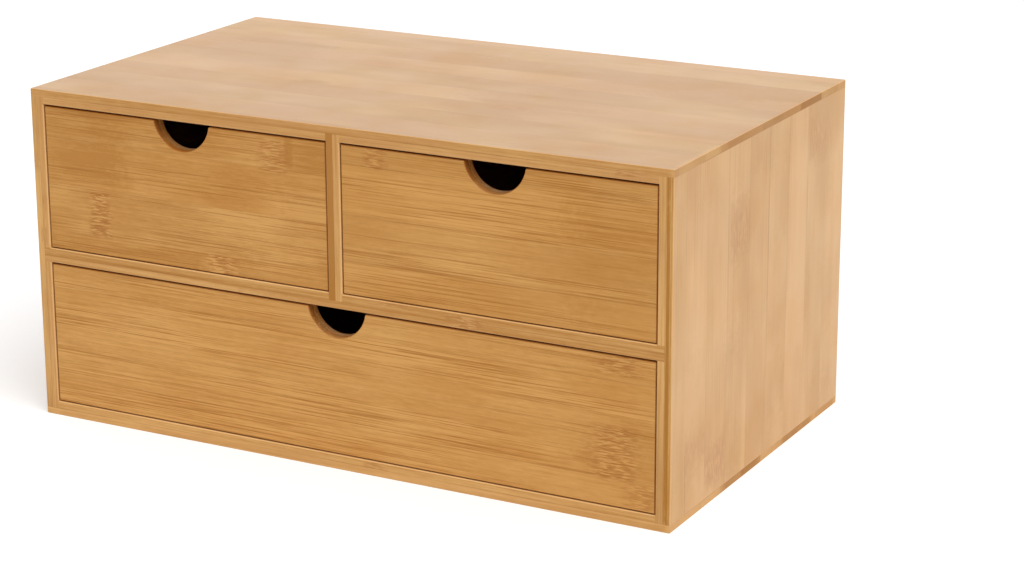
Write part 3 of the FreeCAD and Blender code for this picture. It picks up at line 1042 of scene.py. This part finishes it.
CASE_CUTS = {
    "top_panel": Cut(
        **LYING,
        number=11,
        strip_start=0.0064,
        strip_contrast=0.3,
        near_ply_shade=-0.18,
        far_ply_shade=-0.1,
        patches=(
            Mark(0.085, 0.0525, 0.2, 0.022, 0.75),
            Mark(0.13, 0.0525, 0.07, 0.022, 0.5),
            Mark(-0.1, 0.046, 0.03, 0.006, 0.7),
            Mark(-0.02, 0.046, 0.03, 0.006, 0.4),
            Mark(0.05, -0.032, 0.04, 0.03, 0.45),
            Mark(-0.055, -0.03, 0.014, 0.02, 0.75),
            Mark(0.14, -0.052, 0.06, 0.022, -0.4),
            Mark(-0.116, 0.035, 0.05, 0.034, 0.6),
            Mark(0.06, -0.012, 0.06, 0.022, 0.6),
            Mark(0.12, 0.035, 0.05, 0.03, 0.6),
            Mark(0.0, 0.1, 0.4, 0.08, -0.25),
            # A broad band that darkens the top towards its front: painted shade.
            Mark(0.0, -0.11, 0.4, 0.1, 0.2),
            Mark(0.1445, 0.156, 0.012, 0.0025, 0.2, through=True),
            Mark(0.165, 0.053, 0.004, 0.022, 0.8),
            Mark(0.165, -0.0075, 0.004, 0.085, 0.1),
            Mark(0.165, -0.0725, 0.004, 0.045, -0.45),
        ),
        knuckles=(
            Mark(0.055, -0.028, 0.018, 0.01, 0.6),
            Mark(0.1445, 0.156, 0.014, 0.003, 0.8, through=True),
        ),
    ),
    "bottom_panel": Cut(
        **LYING,
        number=23,
        strip_start=EDGE_STRIP_START,
        near_ply_shade=-0.3,
        far_ply_shade=-0.1,
        knuckles=(Mark(0.0195, 0.005, 0.012, 0.003, 0.7, through=True),),
        patches=(
            Mark(0.165, -0.02, 0.004, 0.04, 0.5),
            Mark(0.165, 0.045, 0.004, 0.035, 0.5),
            Mark(0.165, -0.07, 0.004, 0.05, -0.6),
        ),
    ),
    "shelf": Cut(
        **LYING,
        number=31,
        strip_start=EDGE_STRIP_START,
        near_ply_shade=0.12,
        far_ply_shade=0.2,
        knuckles=(
            Mark(0.0655, 0.0795, 0.017, 0.0055, 0.9, through=True),
            Mark(0.03, 0.083, 0.013, 0.003, 0.7, through=True),
        ),
        patches=(
            Mark(-0.11, 0.0803, 0.11, 0.0014, 0.2, through=True),
            Mark(-0.1, 0.0775, 0.12, 0.0035, -0.3, through=True),
        ),
    ),
    "left_side_panel": Cut(
        **STANDING,
        number=43,
        strip_start=SIDE_STRIP_START,
        near_ply_shade=-0.25,
        knuckles=(Mark(0.089, -0.1612, 0.008, 0.0035, 0.7, through=True),),
        stray_knuckles=0.5,
    ),
    "right_side_panel": Cut(
        **STANDING,
        number=57,
        strip_start=SIDE_STRIP_START,
        strip_contrast=0.3,
        near_ply_shade=-0.3,
        far_ply_shade=0.03,
        knuckles=(
            Mark(0.118, -0.0265, 0.022, 0.022, 0.5),
            Mark(0.139, 0.0625, 0.015, 0.022, 0.45),
            Mark(0.03, -0.07, 0.01, 0.021, 0.4),
            Mark(0.017, -0.049, 0.016, 0.021, 0.6),
        ),
        patches=(
            Mark(0.118, -0.0265, 0.026, 0.022, 0.5),
            Mark(0.139, 0.0625, 0.02, 0.022, 0.45),
            Mark(0.03, -0.07, 0.02, 0.021, 0.25),
            Mark(0.017, -0.049, 0.016, 0.021, 0.25),
            Mark(0.08, 0.018, 0.15, 0.022, 0.12),
            Mark(0.09, 0.0405, 0.13, 0.021, -0.3),
            Mark(0.0, 0.0, 0.05, 0.19, 0.2),
            Mark(0.153, 0.0, 0.03, 0.19, 0.25),
            Mark(0.038, 0.0, 0.06, 0.19, 0.15),
            Mark(0.035, -0.031, 0.07, 0.021, 0.35),
            Mark(0.04, -0.072, 0.06, 0.022, 0.15),
            Mark(0.045, 0.0735, 0.06, 0.022, 0.15),
            Mark(0.08, 0.085, 0.07, 0.02, -0.3),
            Mark(0.075, 0.018, 0.06, 0.022, -0.3),
            Mark(0.08, 0.1627, 0.16, 0.0015, 0.5, through=True),
        ),
        seams=(
            Mark(0.125, -0.0385, 0.07, 0.0009, 0.6),
            Mark(0.11, 0.006, 0.1, 0.0009, 0.8),
            Mark(0.11, 0.051, 0.03, 0.0011, 0.7),
            Mark(0.02, -0.0805, 0.03, 0.0009, 0.7),
        ),
    ),
    "divider": Cut(
        **STANDING,
        number=61,
        strip_start=EDGE_STRIP_START,
        near_ply_shade=0.6,
        far_ply_shade=-0.15,
    ),
    "back_panel": Cut(grain=Axis.SIDEWAYS, breadth=Axis.UPRIGHT, number=73, plies=1, stray_knuckles=0.5),
}


@dataclass
class Case:
    """The outer case: seven boards and the brads that hold its back."""

    finish: BambooFinish = CASE_BAMBOO
    top_finish: BambooFinish = TOP_BAMBOO
    steel: SteelFinish = STEEL

    def dress(self, workshop: Workshop) -> None:
        """Put each board's own wood on it, and steel on the brads.

        Args:
            workshop: Makes the materials.
        """
        for node, cut in CASE_CUTS.items():
            finish = self.top_finish if node == "top_panel" else self.finish
            workshop.dress_board(node, finish, cut)
        workshop.dress_brads("back_panel_brads", self.steel)


@dataclass
class Drawer:
    """A drawer: its front board, four box boards and eight brads."""

    name: str
    number: int
    strip_start: float
    knuckles: tuple[Mark, ...]
    patches: tuple[Mark, ...]
    front_finish: BambooFinish = FRONT_BAMBOO
    box_finish: BambooFinish = DRAWER_BOX_BAMBOO
    steel: SteelFinish = STEEL

    def dress(self, workshop: Workshop) -> None:
        """Put wood on the front and on the box behind it, and steel on the brads.

        Args:
            workshop: Makes the materials.
        """
        front = Cut(
            grain=Axis.SIDEWAYS,
            breadth=Axis.UPRIGHT,
            number=self.number,
            strip_start=self.strip_start,
            near_ply_shade=0.4,
            far_ply_shade=-0.1,
            knuckles=self.knuckles,
            patches=self.patches,
        )
        workshop.dress_board(f"{self.name}_front", self.front_finish, front)
        box_boards = {
            "left_side": (Axis.DEEP, Axis.UPRIGHT),
            "right_side": (Axis.DEEP, Axis.UPRIGHT),
            "back": (Axis.SIDEWAYS, Axis.UPRIGHT),
            "bottom": (Axis.SIDEWAYS, Axis.DEEP),
        }
        for offset, (piece, (grain, breadth)) in enumerate(box_boards.items(), start=1):
            number = self.number + offset
            cut = Cut(grain, breadth, number, self.strip_start, plies=1, stray_knuckles=0.5)
            workshop.dress_board(f"{self.name}_{piece}", self.box_finish, cut)
        workshop.dress_brads(f"{self.name}_brads", self.steel)


DRAWERS = (
    Drawer(
        name="left_drawer",
        number=101,
        strip_start=0.0045,
        knuckles=(
            Mark(-0.128, 0.1035, 0.011, 0.021, 0.8),
            Mark(-0.0315, 0.1425, 0.013, 0.016, 0.6),
            Mark(-0.061, 0.0875, 0.016, 0.01, 0.8),
        ),
        patches=(
            Mark(-0.08, 0.118, 0.3, 0.1, 0.08),
            Mark(-0.142, 0.137, 0.05, 0.04, 0.35),
            Mark(-0.022, 0.104, 0.04, 0.04, -0.3),
            Mark(-0.09, 0.128, 0.09, 0.018, 0.25),
            Mark(-0.13, 0.103, 0.07, 0.03, -0.1),
            Mark(-0.015, 0.13, 0.024, 0.045, 0.2),
            Mark(-0.0235, 0.1445, 0.004, 0.013, 0.4),
            Mark(-0.062, 0.0885, 0.016, 0.008, -0.5),
        ),
        front_finish=SMOOTH_FRONT_BAMBOO,
    ),
    Drawer(
        name="right_drawer",
        number=211,
        strip_start=0.011,
        knuckles=(Mark(0.0215, 0.1475, 0.01, 0.009, 0.6),),
        patches=(
            Mark(0.137, 0.133, 0.045, 0.02, 0.3),
            Mark(0.14, 0.113, 0.05, 0.06, 0.14),
            Mark(0.06, 0.115, 0.07, 0.05, -0.12),
            Mark(0.09, 0.092, 0.07, 0.016, 0.25),
        ),
        front_finish=CALM_FRONT_BAMBOO,
    ),
    Drawer(
        name="bottom_drawer",
        number=331,
        strip_start=0.02,
        knuckles=(
            Mark(0.14, 0.0715, 0.02, 0.009, 0.6),
            Mark(0.138, 0.0315, 0.02, 0.024, 0.65),
            Mark(0.151, 0.0135, 0.014, 0.012, 0.5),
        ),
        patches=(
            Mark(0.145, 0.0325, 0.05, 0.022, 0.2),
            Mark(0.15, 0.044, 0.02, 0.008, 0.3),
            Mark(0.124, 0.028, 0.012, 0.005, 0.3),
            Mark(0.0, 0.04, 0.6, 0.1, -0.08),
            Mark(-0.08, 0.03, 0.12, 0.06, -0.08),
        ),
    ),
)


@dataclass
class Lamp:
    """A soft lamp far away, like a large window."""

    name: str
    azimuth: float
    elevation: float
    strength: float
    softness: float

    def build(self) -> None:
        """Add the lamp, turned towards the object."""
        bpy.ops.object.select_all(action="DESELECT")
        turn = math.radians(self.azimuth)
        rise = math.radians(self.elevation)
        level = math.cos(rise)
        towards = Vector((math.sin(turn) * level, -math.cos(turn) * level, math.sin(rise)))
        bpy.ops.object.light_add(type="SUN", location=towards)
        lamp = bpy.context.object
        lamp.name = self.name
        lamp.rotation_euler = towards.to_track_quat("Z", "Y").to_euler()
        lamp.data.energy = self.strength
        lamp.data.angle = math.radians(self.softness)
        LOG.info("%s: strength %.2f", self.name, self.strength)


@dataclass
class Studio:
    """A pale floor, a white surround, a soft lamp and the camera of the photograph."""

    floor_size: float = 12.0
    floor_colour: Colour = paint(236, 236, 236)
    floor_glow: float = 0.3
    surround_light: float = 0.5
    surround_white: float = 1.0
    lamps: tuple[Lamp, ...] = (Lamp("key_lamp", azimuth=56, elevation=54, strength=1.9, softness=50),)
    camera_place: Triple = (0.61428, -1.07176, 0.43828)
    camera_turn: Triple = (73.9919, 0.3295, 28.6446)
    camera_lens: float = 95.174
    camera_sensor: float = 36.0
    camera_shift: tuple[float, float] = (0.021484, -0.045898)

    def seen(self, wiring: Wiring) -> Output:
        """Tell rays that look at the surround from rays that light the object."""
        path = wiring.add("ShaderNodeLightPath").outputs
        return wiring.total(
            path["Is Camera Ray"], path["Is Glossy Ray"], path["Is Transmission Ray"], clamp=True
        )

    def build_floor(self) -> None:
        """Add the floor, as white as the surround to the eye, but with the object's shadow on it."""
        bpy.ops.object.select_all(action="DESELECT")
        bpy.ops.mesh.primitive_plane_add(size=self.floor_size)
        floor = bpy.context.object
        floor.name = "studio_floor"
        material = bpy.data.materials.new("studio_floor")
        wiring = Wiring.of(material)
        matt = wiring.add("ShaderNodeBsdfDiffuse")
        wiring.feed(matt.inputs["Color"], self.floor_colour)
        glow = wiring.add("ShaderNodeEmission")
        wiring.feed(glow.inputs["Strength"], wiring.times(self.seen(wiring), self.floor_glow))
        both = wiring.add("ShaderNodeAddShader")
        wiring.feed(both.inputs[0], matt.outputs["BSDF"])
        wiring.feed(both.inputs[1], glow.outputs["Emission"])
        wiring.end("ShaderNodeOutputMaterial", both.outputs["Shader"])
        floor.data.materials.append(material)
        LOG.info("studio_floor: %.0f m wide", self.floor_size)

    def build_surround(self) -> None:
        """Make the world white to the eye and to reflections, and a plain soft light to all else."""
        world = bpy.data.worlds.new("studio_surround")
        bpy.context.scene.world = world
        wiring = Wiring.of(world)
        choice = wiring.add("ShaderNodeMixShader")
        wiring.feed(choice.inputs["Fac"], self.seen(wiring))
        for place, strength in enumerate((self.surround_light, self.surround_white), start=1):
            background = wiring.add("ShaderNodeBackground")
            wiring.feed_named(background, {"Color": WHITE, "Strength": strength})
            wiring.feed(choice.inputs[place], background.outputs["Background"])
        wiring.end("ShaderNodeOutputWorld", choice.outputs["Shader"])

    def build_camera(self) -> None:
        """Add the camera where the photograph was taken from."""
        bpy.ops.object.select_all(action="DESELECT")
        turn = tuple(math.radians(angle) for angle in self.camera_turn)
        bpy.ops.object.camera_add(location=self.camera_place, rotation=turn)
        camera = bpy.context.object
        camera.name = "photo_camera"
        camera.data.sensor_width = self.camera_sensor
        camera.data.lens = self.camera_lens
        camera.data.shift_x, camera.data.shift_y = self.camera_shift
        bpy.context.scene.camera = camera

    def build(self) -> None:
        """Set up the floor, the surround, the lamps and the camera."""
        self.build_floor()
        self.build_surround()
        for lamp in self.lamps:
            lamp.build()
        self.build_camera()
        bpy.context.scene.view_settings.view_transform = "Standard"


def main() -> None:
    """Dress the case and the drawers, then set up the studio."""
    logging.basicConfig(level=logging.INFO, format="%(message)s")
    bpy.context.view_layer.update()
    workshop = Workshop()
    Case().dress(workshop)
    for drawer in DRAWERS:
        drawer.dress(workshop)
    Studio().build()


if __name__ == "__main__":
    main()
